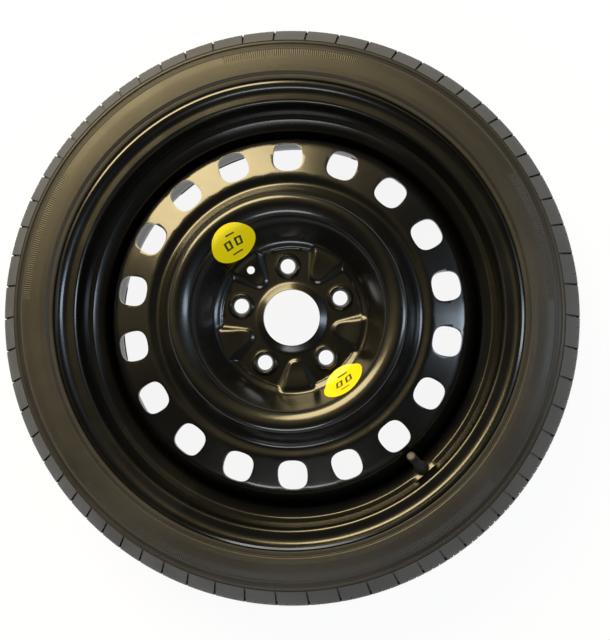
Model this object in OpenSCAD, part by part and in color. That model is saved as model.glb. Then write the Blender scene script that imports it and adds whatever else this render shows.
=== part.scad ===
// Space saver spare wheel, lying on its side with the outboard face up.
// Profiles are drawn as [radius, height], with the height counted from the wheel's centre plane.
// A path is a list of corners [radius, height, fillet], and each corner is rounded by its fillet.

/* [Tyre] */
// Height of the tyre from its bead seat to the middle of the tread
tyre_h = 85.1; // [76:0.1:92]
// Width of the inflated tyre across its sidewalls
tyre_w = 125; // [123:0.5:136]
// Width of the tread between its shoulder corners
tread_w = 67; // [64:1:74]
// Thickness of the crown, tread and casing together
crown_t = 11; // [9:0.5:14]
// How far the tread falls from its middle to its shoulder corners
crown_fall = 3; // [2:0.1:5]
// Fillet at the tread's shoulder
shoulder_fillet = 22; // [12:0.5:26]
// Thickness of the sidewall at its widest
sidewall_t = 8; // [6:0.5:10]
// Where the raised side band ends, as a share of the way from the flange to the tread
side_band_at = 0.48; // [0.44:0.01:0.52]
// Depth of the groove between the side band and the shoulder blocks
side_groove_t = 1.4; // [0.8:0.1:2]
// Where the shoulder blocks start, as a share of the way from the flange to the tread
blocks_at = 0.6; // [0.57:0.01:0.64]
// Where the blocks' upper edge lies, as a share of the way from the shoulder corner to the sidewall
blocks_out = 0.786; // [0.74:0.002:0.82]
// Width of a bead on its seat
bead_w = 13; // [11:0.5:15]
// Clearance between the tyre and the rim
bead_clear = 0.2; // [0.1:0.05:0.4]

/* [Tread pattern] */
// Number of blocks around each shoulder
block_n = 66; // [48:2:72]
// Width of the slots between shoulder blocks
slot_w = 2.2; // [1.6:0.1:3]
// Depth of the slots at the shoulder corner
slot_t = 4; // [3:0.1:5]
// Distance of the slots' inner ends from the centre plane
slot_end = 26.5; // [24:0.5:29]
// Variation of the block length around the tyre, in blocks
pitch_swing = 0.5; // [0:0.05:0.6]
// Number of times that the block length varies around the tyre
pitch_waves = 4; // [1:1:6]
// Width of the grooves around the tread
groove_w = 5.5; // [4:0.5:7]
// Depth of the grooves around the tread
groove_t = 4; // [3:0.1:5]
// Distance from the middle groove to each outer one
groove_gap = 17.5; // [15:0.5:19]

/* [Rim] */
// Diameter of the bead seats at the flanges
seat_d = 436.6; // [430:0.2:440]
// Width of the rim between its flanges
rim_w = 101.6; // [99:0.2:106]
// Thickness of the rim's sheet
rim_t = 2.4; // [2:0.1:3]
// Height of the flanges over the bead seats
flange_h = 16.2; // [15:0.1:17.5]
// How far each flange curls outwards
flange_out = 9.2; // [8.5:0.1:9.6]
// Fillet of the flange's curl
curl_fillet = 6.5; // [5:0.5:7]
// Fillet between the bead seat and the flange
heel_fillet = 6.5; // [5:0.5:7]
// Width of each bead seat
seat_w = 19.5; // [18:0.5:21]
// Slope of the bead seats, in degrees
seat_slope = 5; // [4:0.5:6]
// Depth of the drop centre under the bead seats
well_h = 14.6; // [13:0.1:16]
// Distance from the centre plane to the drop centre's outboard corner
well_out = 20.5; // [18.5:0.5:22]
// Distance from the centre plane to the drop centre's inboard corner
well_in = 25; // [24:0.5:27]

/* [Disc] */
// Thickness of the disc's sheet
disc_t = 3.5; // [3:0.1:4]
// Offset of the mounting face from the centre plane, outboard
face_offset = 33; // [28:0.5:38]
// Diameter of the centre bore
bore_d = 58.1; // [54:0.1:62]
// Height of the turned-up lip around the bore
lip_h = 3.5; // [2:0.1:5]
// Width of the slope that rises to the bore's lip
lip_w = 8; // [6:0.5:9]
// Diameter of the hub pad at the foot of the dish
pad_d = 143.6; // [141:0.2:147]
// Mean diameter of the nose, the disc's highest ring
nose_d = 209.5; // [206:0.5:213]
// Width of the nose between its corners
nose_w = 14; // [12:0.5:17]
// Height of the nose over the hub pad
nose_h = 43.5; // [38:0.5:47]
// Fillet of both corners of the nose
nose_fillet = 13; // [8:0.5:14]
// Where the valley lies, as a share of the way from the nose to the rim
valley_at = 0.225; // [0.2:0.005:0.25]
// Drop from the nose to the valley
valley_fall = 26.5; // [22:0.5:30]
// Where the low crest inside the vents lies, as a share of the way from the nose to the rim
crest_at = 0.373; // [0.35:0.005:0.4]
// Rise from the valley to the crest
crest_rise = 1.7; // [1:0.1:3]
// Where the vent ring turns down, as a share of the way from the nose to the rim
brow_at = 0.732; // [0.7:0.005:0.76]
// Drop from the crest to the brow
brow_fall = 6; // [4:0.5:8]
// Height of the shoulder's foot over the centre plane
foot_z = 3; // [1:0.5:6]
// Distance of the disc's edge behind the centre plane
edge_z = 20; // [18:0.5:22]

/* [Bolt holes] */
// Diameter of the circle through the bolt holes
pcd = 108; // [106:0.5:110]
// Number of bolt holes
bolt_n = 5; // [5:1:5]
// Diameter of each bolt hole
bolt_d = 15.2; // [13:0.1:16]
// Angle of the first bolt hole
bolt_a = 22.7; // [0:0.1:72]
// Diameter of the raised boss around each hole
boss_d = 26.8; // [25:0.1:27.5]
// Height of each boss
boss_h = 2.5; // [1.5:0.1:3]
// Diameter of each conical seat at its mouth
seat_mouth_d = 20; // [18:0.1:21]
// Included angle of each conical seat
seat_cone = 60; // [50:5:70]
// Diameter of the locating hole
pilot_d = 8.2; // [6:0.1:9]
// Distance of the locating hole from the wheel's axis
pilot_r = 64.5; // [62:0.1:66]

/* [Fans] */
// Height of the pressed fans over the hub pad
fan_h = 4.6; // [3:0.1:5.5]
// Distance of the middle of a fan's rounded tip from the axis
fan_tip_r = 52; // [51:0.5:54]
// Radius of a fan's tip at the pad
fan_r = 10.5; // [9:0.1:11]
// Width of the slope around a fan
fan_slope = 5.3; // [4:0.1:6]
// Angle between a fan's middle line and its sides
fan_spread = 30; // [26:1:32]

/* [Vents] */
// Number of vents
vent_n = 18; // [16:1:18]
// Where the vents lie, as a share of the way from the nose to the rim
vent_at = 0.5576; // [0.54:0.005:0.57]
// Diameter of the vents across their corners
vent_d = 33.4; // [31:0.1:34]
// Size of the vents along the radius
vent_long = 31; // [28:0.1:31.5]
// Size of the vents around the ring
vent_wide = 30; // [27:0.1:31]
// Angle of the first vent
vent_a = 10.9; // [0:0.1:20]

/* [Weld seams] */
// Length of each seam's legs
weld_leg = 4; // [3:0.1:5]
// Length of each seam, in degrees
weld_arc = 24; // [16:1:30]
// Clearance between a seam and the rim
weld_gap = 0.15; // [0.1:0.05:0.2]

/* [Labels] */
// Diameter of the two round labels
label_d = 47; // [40:0.5:48]
// Thickness of the labels
label_t = 0.3; // [0.2:0.05:0.5]
// Clearance between a label and the dish
label_gap = 0.15; // [0.1:0.05:0.2]
// Angle of the upper label
upper_label_a = 127.7; // [120:0.1:135]
// Distance from the pad's edge up the wall to the upper label's middle
upper_label_up = 30.7; // [28:0.1:33]
// Angle of the lower label
lower_label_a = 309.6; // [300:0.1:320]
// Distance from the pad's edge up the wall to the lower label's middle
lower_label_up = 25.8; // [25:0.1:28]

/* [Valve] */
// Angle of the valve around the wheel
valve_a = 310.8; // [0:0.1:360]
// Diameter of the valve hole
valve_hole_d = 11.5; // [11:0.1:12]
// Height of the rubber stem over the rim
stem_l = 23; // [20:0.5:26]
// Diameter of the stem's outer shoulder
stem_shoulder_d = 15.2; // [14:0.1:16]
// Diameter of the stem's bulb inside the rim
stem_bulb_d = 17.2; // [16:0.1:18]
// Length of the stem's bulb inside the rim
stem_bulb_l = 8.5; // [7:0.5:10]
// Diameter of the stem at its top
stem_top_d = 8.8; // [8.2:0.1:9.4]
// Length of the thread over the stem
thread_l = 10.5; // [9:0.5:12]
// Diameter of the thread for the cap
thread_d = 7.7; // [7.4:0.1:7.9]
// Outer diameter of the cap
cap_d = 9.8; // [9.4:0.1:10.4]
// Thickness of the cap's end wall
cap_end_t = 0.9; // [0.7:0.1:1.2]
// Number of grip flutes around the cap
flute_n = 16; // [10:1:18]
// Thickness of the seal in the cap
cap_seal_t = 0.8; // [0.5:0.1:1]
// Clearance between the cap and the thread
thread_clear = 0.1; // [0.05:0.01:0.12]

/* [Valve core] */
// Outer diameter of the core's body
core_d = 4.7; // [4.5:0.05:4.8]
// Length of the core's body
core_l = 14.5; // [13:0.5:15]
// Diameter of the core's pin
pin_d = 1.2; // [1:0.05:1.3]
// Diameter of the spring's coil, outside
spring_d = 2.6; // [2.4:0.05:2.7]
// Diameter of the spring's wire
spring_wire = 0.35; // [0.25:0.05:0.4]
// Number of turns of the spring
spring_turns = 6; // [4:1:8]

/* [Hidden] */
$fn = 144;

// Largest turn of one flat in a rounded corner, in degrees
arc_step = 9;
// Share of a corner's shorter leg that its fillet may use
leg_share = 0.49;
// How far a cutter reaches past what it cuts
past = 2;
// Gap between pieces that touch
touch = 0.05;
// Half an angle that counts as straight, in degrees
nearly_straight = 89.5;
half_turn = 180;

seat_r = seat_d / 2;
tyre_r = seat_r + tyre_h;
flange_r = seat_r + flange_h;
seat_end_r = seat_r - seat_w * tan(seat_slope);
seat_end_z = rim_w / 2 - seat_w;
well_r = seat_end_r - well_h;
well_inner_r = well_r - rim_t;

function flat(p) = [p.x, p.y];
function unit(v) = v / norm(v);
function left_of(v) = [-v.y, v.x];

// One corner of a path between its two neighbours, rounded by r as far as its legs allow
function corner(a, b, c, r) =
    let(u = unit(a - b), w = unit(c - b), half = acos(max(-1, min(1, u * w))) / 2)
    r <= 0 || half > nearly_straight ? [b] :
    let(fit = min(r, tan(half) * leg_share * min(norm(a - b), norm(c - b))),
        hub = b + unit(u + w) * fit / sin(half),
        first = b + u * fit / tan(half) - hub,
        last = b + w * fit / tan(half) - hub,
        start = atan2(first.y, first.x),
        turn = (atan2(last.y, last.x) - start + 3 * half_turn) % (2 * half_turn) - half_turn,
        steps = max(2, ceil(abs(turn) / arc_step)))
    [for (i = [0:steps]) let(a1 = start + turn * i / steps) hub + fit * [cos(a1), sin(a1)]];

// The points of an open path with its corners rounded
function rounded(path) = let(last = len(path) - 1) [
    for (i = [0:last])
        for (p = i == 0 || i == last ? [flat(path[i])]
                : corner(flat(path[i - 1]), flat(path[i]), flat(path[i + 1]), path[i].z)) p];

// The points of a closed path with its corners rounded
function rounded_loop(path) = let(n = len(path)) [
    for (i = [0:n - 1])
        for (p = corner(flat(path[(i + n - 1) % n]), flat(path[i]), flat(path[(i + 1) % n]), path[i].z)) p];

// The same path moved sideways by t, to the left of its direction where t is positive
function moved(path, t) = let(last = len(path) - 1) [
    for (i = [0:last])
        let(b = flat(path[i]),
            next = left_of(unit(flat(path[min(i + 1, last)]) - flat(path[min(i, last - 1)]))),
            before = left_of(unit(flat(path[max(i, 1)]) - flat(path[max(i - 1, 0)]))),
            n1 = i == 0 ? next : before,
            n2 = i == last ? before : next,
            m = (n1 + n2) / (1 + n1 * n2),
            r = path[i].z - sign(cross(n1, n2)) * t)
        [b.x + m.x * t, b.y + m.y * t, i == 0 || i == last ? 0 : max(r, 0)]];

function reversed(list) = [for (i = [len(list) - 1:-1:0]) list[i]];
function mirrored(path) = [for (i = [len(path) - 1:-1:0]) [path[i].x, -path[i].y, path[i].z]];

// The space between two paths that run side by side
module between_paths(a, b) {
    polygon(concat(rounded(a), reversed(rounded(b))));
}

// Puts the wheel's centre plane at its height over the surface that the tyre lies on
module lying() {
    translate([0, 0, tyre_w / 2]) children();
}

// Tyre side of the rim, from the outboard flange's edge to the inboard one's
curl_z = rim_w / 2 + flange_out;
lip_bend = 1.8;
rim_path = [
    [flange_r - lip_bend, curl_z, 0],
    [flange_r, curl_z - lip_bend, 1.5],
    [flange_r, rim_w / 2, curl_fillet],
    [seat_r, rim_w / 2, heel_fillet],
    [seat_end_r, seat_end_z, 6],
    [well_r, well_out, 2],
    [well_r, -well_in, 4],
    [seat_end_r, -seat_end_z, 6],
    [seat_r, -rim_w / 2, heel_fillet],
    [flange_r, -rim_w / 2, curl_fillet],
    [flange_r, lip_bend - curl_z, 1.5],
    [flange_r - lip_bend, -curl_z, 0]];
rim_inside = moved(rim_path, -rim_t);

// The valve stands on the middle of the outboard slope between the bead seat and the well
slope_top = flat(rim_inside[4]);
slope_foot = flat(rim_inside[5]);
valve_foot = (slope_top + slope_foot) / 2;
valve_lean = atan2(slope_top.y - slope_foot.y, slope_top.x - slope_foot.x);

// Outboard face of the disc, from the bore's lip to the edge in the rim's well
pad_z = face_offset + disc_t;
nose_z = pad_z + nose_h;
valley_z = nose_z - valley_fall;
crest_z = valley_z + crest_rise;
disc_r = well_inner_r - touch;
nose_out_r = (nose_d + nose_w) / 2;
ring_w = disc_r - nose_out_r;
valley_r = nose_out_r + valley_at * ring_w;
crest_r = nose_out_r + crest_at * ring_w;
vent_r = nose_out_r + vent_at * ring_w;
brow_r = nose_out_r + brow_at * ring_w;
disc_path = [
    [bore_d / 2 - past, pad_z + lip_h * (1 + past / lip_w), 0],
    [bore_d / 2 + lip_w, pad_z, 9],
    [pad_d / 2, pad_z, 1.2],
    [(nose_d - nose_w) / 2, nose_z, nose_fillet],
    [nose_out_r, nose_z, nose_fillet],
    [valley_r, valley_z, 8],
    [crest_r, crest_z, 20],
    [brow_r, crest_z - brow_fall, 22],
    [disc_r, foot_z, 12],
    [disc_r, -edge_z, 0]];
vent_lean = atan2(brow_fall, brow_r - crest_r);
vent_z = crest_z - tan(vent_lean) * (vent_r - crest_r);
dish_lean = atan2(nose_h, (nose_d - nose_w - pad_d) / 2);

// Side of the tyre, from the bead's toe to the middle of the tread
bead_z = rim_w / 2 - bead_clear;
side_z = tyre_w / 2;
side_h = tyre_r - flange_r;
band_r = flange_r + side_band_at * side_h;
rib_r = flange_r + blocks_at * side_h;
// Small steps of the side's shape shrink with its height, and are about 1 mm as drawn
side_unit = side_h / 69;
shoulder_r = tyre_r - crown_fall;
shoulder_z = tread_w / 2;
rib_z = shoulder_z + blocks_out * (side_z - shoulder_z);
band_z = rib_z + (side_z - rib_z) * 0.62;
lip_gap = 1.1;
tyre_side = [
    [seat_r + bead_clear - bead_w * tan(seat_slope), rim_w / 2 - bead_w, 2],
    [seat_r + bead_clear, bead_z, heel_fillet + 1.5],
    [flange_r + lip_gap, bead_z, curl_fillet + 1],
    [flange_r + lip_gap, side_z - lip_gap, 1],
    [flange_r + 8 * side_unit, side_z, 9],
    [flange_r + 23 * side_unit, side_z, 26],
    [band_r, band_z, 1],
    [band_r + side_groove_t * side_unit, band_z - side_groove_t, 0.5],
    [rib_r - 3 * side_unit, rib_z - side_groove_t / 2, 0.5],
    [rib_r - 2 * side_unit, rib_z + 0.9, 0.5],
    [rib_r, rib_z, 0],
    [shoulder_r, shoulder_z, shoulder_fillet],
    [tyre_r - crown_fall / 4, shoulder_z / 2, 70],
    [tyre_r, groove_w, 0]];
tyre_inside = [
    [tyre_r - crown_t, 0, 0],
    [tyre_r - crown_t - 1, shoulder_z * 0.7, 26],
    [flange_r + 22 * side_unit, side_z - sidewall_t, 22],
    [flange_r + 2 * side_unit, rim_w / 2 - 3, 14],
    [seat_r + 9, rim_w / 2 - bead_w + 1.5, 6]];

// Angle of each slot, so that the blocks differ in length as the real ones do
function slot_angle(i) = 360 * (i + pitch_swing * sin(360 * pitch_waves * i / block_n)) / block_n;

// Section of one shoulder slot, from the rib to its end in the tread
slot_path = [
    [rib_r + 0.8, side_z + past],
    [rib_r + 0.8, rib_z - 1],
    [shoulder_r - slot_t - 0.6, shoulder_z - slot_t * 0.7],
    [tyre_r - slot_t - 0.3, slot_end],
    [tyre_r + past, slot_end],
    [tyre_r + past, side_z + past]];

module shoulder_slots() {
    for (i = [0:block_n - 1])
        rotate([0, 0, slot_angle(i)]) rotate([90, 0, 0])
            linear_extrude(slot_w, center = true) polygon(slot_path);
}

module tread_groove(z) {
    translate([0, 0, z])
        rotate_extrude() polygon([
            [tyre_r - groove_t, -groove_w * 0.36],
            [tyre_r + past, -groove_w / 2],
            [tyre_r + past, groove_w / 2],
            [tyre_r - groove_t, groove_w * 0.36]]);
}

module tyre() {
    color([0.17, 0.165, 0.155]) lying() difference() {
        rotate_extrude() polygon(rounded_loop(concat(
            tyre_side,
            mirrored(tyre_side),
            mirrored(tyre_inside),
            [for (i = [1:len(tyre_inside) - 1]) tyre_inside[i]])));
        for (z = [-groove_gap, 0, groove_gap]) tread_groove(z);
        shoulder_slots();
        mirror([0, 0, 1]) shoulder_slots();
    }
}

// Stands a piece of the valve on the rim, with +Z along the valve
module on_valve() {
    lying() rotate([0, 0, valve_a]) translate([valve_foot.x, 0, valve_foot.y])
        rotate([0, -valve_lean, 0]) children();
}

module rim() {
    color([0.05, 0.05, 0.05]) difference() {
        lying() rotate_extrude() between_paths(rim_path, rim_inside);
        on_valve() translate([0, 0, -rim_t - past])
            cylinder(d = valve_hole_d, h = rim_t + 2 * past);
    }
}

// Outline of a fan, wound the same way at any tip radius r, out to the radius reach
fan_steps = 8;
end_steps = 6;
function side_hit(r, reach) =
    let(tip = [fan_tip_r, 0] + r * [-sin(fan_spread), cos(fan_spread)],
        along = [cos(fan_spread), sin(fan_spread)],
        b = tip * along,
        run = -b + sqrt(b * b + reach * reach - tip * tip),
        p = tip + along * run)
    atan2(p.y, p.x);
function fan_outline(r, reach) = concat(
    [for (i = [0:fan_steps]) let(a = 90 + fan_spread + (180 - 2 * fan_spread) * i / fan_steps)
        [fan_tip_r + r * cos(a), r * sin(a)]],
    [for (i = [0:end_steps]) let(a = side_hit(r, reach) * (2 * i / end_steps - 1))
        [reach * cos(a), reach * sin(a)]]);

// A fan from height z0, where its tip has the radius r, to z1, where it is a slope smaller
module fan(r, reach, z0, z1) {
    low = fan_outline(r, reach);
    high = fan_outline(r - fan_slope, reach);
    n = len(low);
    polyhedron(
        points = concat([for (p = low) [p.x, p.y, z0]], [for (p = high) [p.x, p.y, z1]]),
        faces = concat(
            [[for (i = [0:n - 1]) i]],
            [[for (i = [n - 1:-1:0]) n + i]],
            [for (i = [0:n - 1]) let(j = (i + 1) % n) [j, i, n + i]],
            [for (i = [0:n - 1]) let(j = (i + 1) % n) [j, n + i, n + j]]));
}

// Places one copy for each bolt hole, turned by an extra angle
module at_bolts(extra) {
    for (i = [0:bolt_n - 1]) rotate([0, 0, bolt_a + extra + 360 * i / bolt_n]) children();
}

fan_turn = 180 / bolt_n;
fan_reach = pad_d / 2 + disc_t;
pressed_fan_r = fan_r - disc_t / 2;

module bolt_seat() {
    seat_t = (seat_mouth_d - bolt_d) / 2 / tan(seat_cone / 2);
    translate([pcd / 2, 0, 0]) {
        translate([0, 0, face_offset - past]) cylinder(d = bolt_d, h = disc_t + boss_h + 2 * past);
        translate([0, 0, pad_z + boss_h - seat_t])
            cylinder(d1 = bolt_d, d2 = seat_mouth_d, h = seat_t);
        translate([0, 0, pad_z + boss_h]) cylinder(d = seat_mouth_d, h = past);
    }
}

module vent() {
    translate([vent_r, 0, vent_z]) rotate([0, vent_lean, 0])
        intersection() {
            cylinder(d = vent_d, h = 4 * vent_d / 5, center = true);
            cube([vent_long, vent_wide, vent_d], center = true);
        }
}

module disc() {
    color([0.06, 0.058, 0.055]) lying() difference() {
        union() {
            rotate_extrude() between_paths(disc_path, moved(disc_path, -disc_t));
            at_bolts(0) translate([pcd / 2, 0, pad_z - disc_t / 2])
                cylinder(d1 = boss_d + disc_t / 2, d2 = boss_d - boss_h, h = disc_t / 2 + boss_h);
            at_bolts(fan_turn) fan(fan_r + fan_slope * disc_t / 2 / fan_h, fan_reach,
                pad_z - disc_t / 2, pad_z + fan_h);
        }
        translate([0, 0, face_offset - past]) cylinder(d = bore_d, h = disc_t + lip_h + 3 * past);
        at_bolts(0) bolt_seat();
        at_bolts(fan_turn) fan(pressed_fan_r, fan_reach - disc_t, face_offset - touch,
            face_offset + fan_h);
        rotate([0, 0, bolt_a + 3 * fan_turn]) translate([pilot_r, 0, face_offset - past])
            cylinder(d = pilot_d, h = fan_h + disc_t + 2 * past);
        for (i = [0:vent_n - 1]) rotate([0, 0, vent_a + 360 * i / vent_n]) vent();
    }
}

// Fillet weld between the disc's edge and the rim, one of weld_n around the wheel
weld_n = 6;
module weld_seam(i) {
    color([0.07, 0.07, 0.068]) lying() rotate([0, 0, 360 * i / weld_n - weld_arc / 2])
        rotate_extrude(angle = weld_arc) polygon([
            [well_inner_r - weld_gap, -edge_z - touch],
            [well_inner_r - weld_leg, -edge_z - touch],
            [well_inner_r - weld_leg * 0.62, -edge_z - weld_leg * 0.62],
            [well_inner_r - weld_gap, -edge_z - weld_leg]]);
}

// A round label that follows the dish, with its middle at a distance up the wall
module label(up, a) {
    middle = [pad_d / 2 + up * cos(dish_lean), 0, pad_z + up * sin(dish_lean)];
    color([0.95, 0.84, 0.05]) lying() intersection() {
        rotate_extrude()
            between_paths(moved(disc_path, label_gap + label_t), moved(disc_path, label_gap));
        rotate([0, 0, a]) translate(middle) rotate([0, -dish_lean, 0])
            cylinder(d = label_d, h = label_d / 2, center = true);
    }
}

// Heights along the valve, counted from the rim
insert_end = stem_l + thread_l;
insert_foot = -rim_t - stem_bulb_l + 1;
insert_d = 5.9;
seal_gap = 0.3;
chamber_d = core_d + 0.2;
core_top = insert_end - 2;
core_foot = core_top - core_l;
chamber_foot = core_foot - 4.5;
neck_l = 2.4;
ledge_z = core_foot + neck_l + 1.6;
collar_z = core_top - 1.9;
collar_t = 0.8;
cup_t = 1.7;
cup_d = 3.2;
running = 0.1;
seal_foot = insert_end + seal_gap;
cap_foot = stem_l + seal_gap;
cap_inside = seal_foot + cap_seal_t + running;
cap_top = cap_inside + cap_end_t;

module valve_stem() {
    neck_r = valve_hole_d / 2 - touch;
    bulb_r = stem_bulb_d / 2;
    shoulder = stem_shoulder_d / 2;
    // The rim curves up towards the edge of the stem's flat shoulder
    rim_rise = shoulder * shoulder * sin(valve_lean) / (2 * valve_foot.x);
    seat_z = rim_rise + touch;
    top_r = stem_top_d / 2;
    bore_r = insert_d / 2 + touch;
    stem_foot = -rim_t - stem_bulb_l;
    color([0.06, 0.06, 0.06]) on_valve() rotate_extrude() polygon(rounded_loop([
        [bore_r, stem_foot, 0],
        [bulb_r - 2, stem_foot, 1.5],
        [bulb_r, stem_foot + stem_bulb_l / 2, 3],
        [neck_r + 1.5, -rim_t - touch, 0],
        [neck_r, -rim_t - touch, 0],
        [neck_r, seat_z, 0],
        [shoulder, seat_z, 0],
        [shoulder, 2.2, 1.2],
        [(shoulder + top_r) / 2, stem_l * 0.28, 6],
        [top_r + 0.3, stem_l * 0.6, 8],
        [top_r, stem_l, 0.6],
        [bore_r, stem_l, 0]]));
}

module valve_insert() {
    color([0.72, 0.6, 0.3]) on_valve() difference() {
        union() {
            translate([0, 0, insert_foot]) cylinder(d = insert_d, h = stem_l + touch - insert_foot);
            translate([0, 0, stem_l + touch]) cylinder(d = thread_d, h = thread_l - 0.5 - touch);
            translate([0, 0, insert_end - 0.5])
                cylinder(d1 = thread_d, d2 = thread_d - 0.8, h = 0.5);
        }
        translate([0, 0, insert_foot - past]) cylinder(d = 3.8, h = insert_end);
        translate([0, 0, chamber_foot]) cylinder(d = chamber_d, h = insert_end);
    }
}

module valve_core_body() {
    color([0.75, 0.63, 0.35]) on_valve() difference() {
        union() {
            translate([0, 0, core_foot]) cylinder(d = core_d - 1.2, h = core_l);
            translate([0, 0, core_foot + neck_l]) cylinder(d = core_d, h = core_l - neck_l);
        }
        translate([0, 0, core_foot - past]) cylinder(d = pin_d + 2 * seal_gap, h = core_l);
        translate([0, 0, ledge_z]) cylinder(d = spring_d + seal_gap, h = core_l);
    }
}

module valve_core_gasket() {
    color([0.8, 0.2, 0.15]) on_valve() translate([0, 0, core_foot + touch]) difference() {
        cylinder(d = chamber_d - 2 * touch, h = neck_l - 2 * touch);
        translate([0, 0, -past]) cylinder(d = core_d - 1.2 + 2 * touch, h = neck_l + 2 * past);
    }
}

module valve_pin() {
    pin_foot = core_foot - cup_t - 1;
    color([0.78, 0.66, 0.4]) on_valve() {
        translate([0, 0, pin_foot]) cylinder(d = pin_d, h = insert_end - 0.4 - pin_foot);
        translate([0, 0, pin_foot]) cylinder(d = pin_d + 0.9, h = 0.8);
        translate([0, 0, collar_z]) cylinder(d = spring_d - seal_gap, h = collar_t);
    }
}

module valve_seal_cup() {
    color([0.12, 0.12, 0.12]) on_valve() translate([0, 0, core_foot - cup_t - 2 * touch])
        difference() {
            cylinder(d1 = cup_d - 0.6, d2 = cup_d, h = cup_t);
            translate([0, 0, -past]) cylinder(d = pin_d + 2 * touch, h = cup_t + 2 * past);
        }
}

// The spring's wire, swept along its helix with six sides
wire_sides = 6;
ring_n = 12;
module valve_spring() {
    low = ledge_z + spring_wire / 2 + touch;
    rise = collar_z - touch - spring_wire / 2 - low;
    coil_r = (spring_d - spring_wire) / 2;
    last = spring_turns * ring_n;
    points = [
        for (i = [0:last], j = [0:wire_sides - 1])
            let(a = 360 * i / ring_n,
                b = 360 * j / wire_sides,
                r = coil_r + spring_wire / 2 * cos(b))
            [r * cos(a), r * sin(a), low + rise * i / last + spring_wire / 2 * sin(b)]];
    walls = [
        for (i = [0:last - 1], j = [0:wire_sides - 1])
            let(k = (j + 1) % wire_sides, p = i * wire_sides)
            each [[p + j, p + k, p + wire_sides + k],
                  [p + j, p + wire_sides + k, p + wire_sides + j]]];
    ends = [[for (j = [wire_sides - 1:-1:0]) j], [for (j = [0:wire_sides - 1]) last * wire_sides + j]];
    color([0.7, 0.7, 0.72]) on_valve() polyhedron(points = points, faces = concat(walls, ends));
}

module valve_cap() {
    bore_r = thread_d / 2 + thread_clear;
    cap_r = cap_d / 2;
    flute_r = 0.45;
    color([0.05, 0.05, 0.05]) on_valve() difference() {
        rotate_extrude() polygon([
            [bore_r, cap_foot],
            [cap_r, cap_foot],
            [cap_r, cap_top - 1.2],
            [cap_r - 0.5, cap_top - 0.3],
            [cap_r - 1.3, cap_top],
            [cap_r - 2, cap_top],
            [cap_r - 2.5, cap_top - 0.3],
            [0, cap_top - 0.3],
            [0, cap_inside],
            [bore_r, cap_inside]]);
        for (i = [0:flute_n - 1]) rotate([0, 0, 360 * i / flute_n])
            translate([cap_r + flute_r / 2, 0, cap_foot - past])
                cylinder(r = flute_r, h = cap_top - cap_foot - 1.4 + past);
    }
}

module valve_cap_seal() {
    color([0.1, 0.1, 0.1]) on_valve() translate([0, 0, seal_foot])
        cylinder(r = thread_d / 2 + thread_clear - running, h = cap_seal_t);
}

tyre();
rim();
disc();
weld_seam(0);  // weld_seam_1
weld_seam(1);  // weld_seam_2
weld_seam(2);  // weld_seam_3
weld_seam(3);  // weld_seam_4
weld_seam(4);  // weld_seam_5
weld_seam(5);  // weld_seam_6
label(upper_label_up, upper_label_a);  // upper_label
label(lower_label_up, lower_label_a);  // lower_label
valve_stem();
valve_insert();
valve_core_body();
valve_core_gasket();
valve_pin();
valve_seal_cup();
valve_spring();
valve_cap();
valve_cap_seal();
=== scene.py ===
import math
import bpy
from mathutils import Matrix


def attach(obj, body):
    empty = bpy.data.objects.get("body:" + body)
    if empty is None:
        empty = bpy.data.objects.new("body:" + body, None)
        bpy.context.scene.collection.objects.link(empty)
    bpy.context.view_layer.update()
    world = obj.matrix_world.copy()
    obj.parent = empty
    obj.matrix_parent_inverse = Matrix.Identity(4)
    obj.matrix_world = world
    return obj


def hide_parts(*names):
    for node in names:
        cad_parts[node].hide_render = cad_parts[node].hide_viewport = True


bl_info = {
    "name": "Space saver spare wheel",
    "version": (1, 0, 0),
    "blender": (4, 5, 0),
    "location": "3D View > Sidebar > Spare wheel",
    "description": "Dresses the packed spare wheel with its detailed pieces and finishes",
    "category": "Object",
}

import bmesh
import bpy
from bpy.props import FloatProperty, FloatVectorProperty, IntProperty, PointerProperty
from bpy.types import Operator, Panel, PropertyGroup
from mathutils import Matrix, Vector

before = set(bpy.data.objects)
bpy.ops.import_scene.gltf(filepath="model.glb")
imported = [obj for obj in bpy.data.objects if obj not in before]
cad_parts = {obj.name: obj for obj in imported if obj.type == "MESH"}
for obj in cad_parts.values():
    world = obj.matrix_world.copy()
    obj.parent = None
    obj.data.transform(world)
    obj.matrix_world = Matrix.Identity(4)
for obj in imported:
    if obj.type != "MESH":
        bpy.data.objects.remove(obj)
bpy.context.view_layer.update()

MM = 0.001
ROOT_BODY = "wheel"

# The wheel's profiles are [radius, height over its centre plane, fillet], in millimetres
TYRE_WIDTH = 125.0
CENTRE_PLANE = TYRE_WIDTH / 2
FLANGE = [
    (234.4, 59.5, 0), (233.9, 57.4, 5), (232.8, 55.2, 8), (230.6, 52.9, 8), (227.6, 51.35, 9),
    (224.5, 50.8, 9), (218.3, 50.8, 1.2),
]
RIM_PATH = [
    *FLANGE, (216.35, 28.4, 1.5), (210.0, 27.6, 1.2), (201.994, 20.2, 3), (201.994, -25.0, 4),
    (216.594, -31.3, 6), *[(r, -z, fillet) for r, z, fillet in reversed(FLANGE)],
]
RIM_SHEET = 2.4
# The plain slope round the valve, on its visible side, from its top downwards
VALVE_AZIMUTH = math.radians(310.8)
SLOPE_TOP, SLOPE_DOWN, SLOPE_LENGTH = Vector((215.17, 33.23)), Vector((-0.804, -0.5947)), 18.0
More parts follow.
